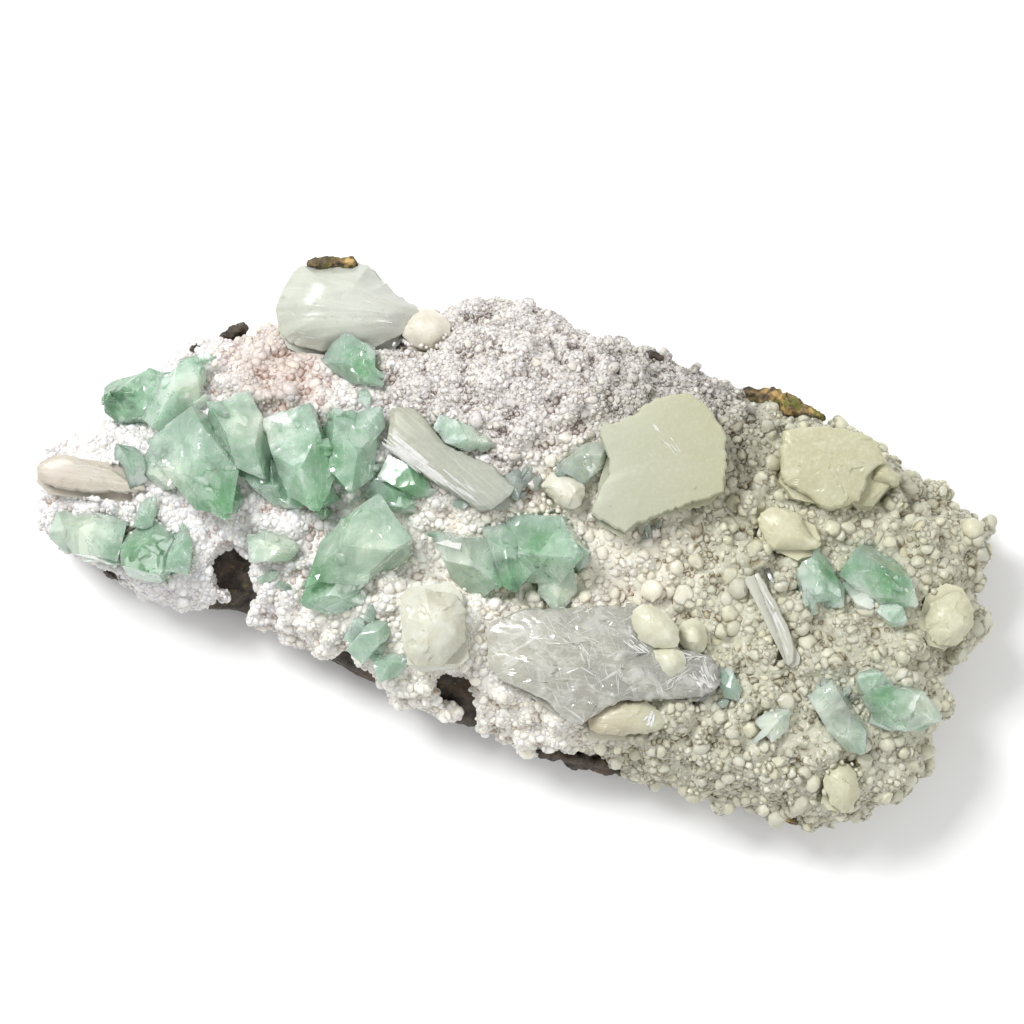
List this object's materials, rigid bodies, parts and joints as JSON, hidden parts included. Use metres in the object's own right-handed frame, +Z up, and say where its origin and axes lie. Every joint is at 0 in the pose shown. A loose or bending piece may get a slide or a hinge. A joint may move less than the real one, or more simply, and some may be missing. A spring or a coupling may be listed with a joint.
{
  "type": "apophyllite cluster on basalt matrix",
  "caption": "Long slab of dark basalt coated with a pale lumpy druse that carries mint green pointed crystals, cream sheaves and blades; it lies on its flat back.",
  "frame": {"origin": "middle of the bounding box, on the plane of the flat back that it lies on", "axes": "+X along the slab's length, towards its broad end; +Y across it, towards the edge that carries the large stilbite fan; +Z up, the way the crystals face"},
  "size_m": [0.1696, 0.0992, 0.0355],
  "materials": {
    "basalt": "rough broken dark brown basalt with olive and rust stains",
    "druse": "lumpy sugary white crust, pinkish on the left, beige on the right, brown in its crevices",
    "stilbite": "cream, pearly, finely ribbed along its fibres",
    "clear_stilbite": "greyish, half clear, glassy with white fibre glints",
    "heulandite": "cream to pale yellow, waxy and slightly translucent",
    "apophyllite": "clear mint green, glassy, greener at the tips and milky at the bases"
  },
  "bodies": {
    "root": {"basalt_slab": "basalt", "druse_crust": "druse", "stilbite_fan": "stilbite", "stilbite_blade": "stilbite", "stilbite_plate": "stilbite", "stilbite_sheaf": "clear_stilbite", "stilbite_stub": "stilbite", "stilbite_left_blade": "stilbite", "stilbite_needle": "stilbite", "heulandite_upper_right": "heulandite", "heulandite_lower_left": "heulandite", "heulandite_beside_plate": "heulandite", "heulandite_right": "heulandite", "heulandite_lower_right": "heulandite", "heulandite_fan_foot": "heulandite", "heulandite_right_edge": "heulandite", "heulandite_sheaf_pair": "heulandite", "heulandite_sheaf_end": "heulandite", "apophyllite_west_point": "apophyllite", "apophyllite_large_left": "apophyllite", "apophyllite_large_middle": "apophyllite", "apophyllite_under_fan": "apophyllite", "apophyllite_pale_left": "apophyllite", "apophyllite_left_edge": "apophyllite", "apophyllite_round": "apophyllite", "apophyllite_clear_left": "apophyllite", "apophyllite_thin_left": "apophyllite", "apophyllite_pale_row": "apophyllite", "apophyllite_lower": "apophyllite", "apophyllite_centre": "apophyllite", "apophyllite_under_blade": "apophyllite", "apophyllite_behind_blade": "apophyllite", "apophyllite_blade_end": "apophyllite", "apophyllite_glassy": "apophyllite", "apophyllite_right_patch": "apophyllite", "apophyllite_right_pale": "apophyllite", "apophyllite_right_point": "apophyllite", "apophyllite_right_clear": "apophyllite", "apophyllite_small_right": "apophyllite", "apophyllite_sheaf_end": "apophyllite", "apophyllite_small_lower": "apophyllite", "apophyllite_lowest": "apophyllite"}
  },
  "joints": []
}
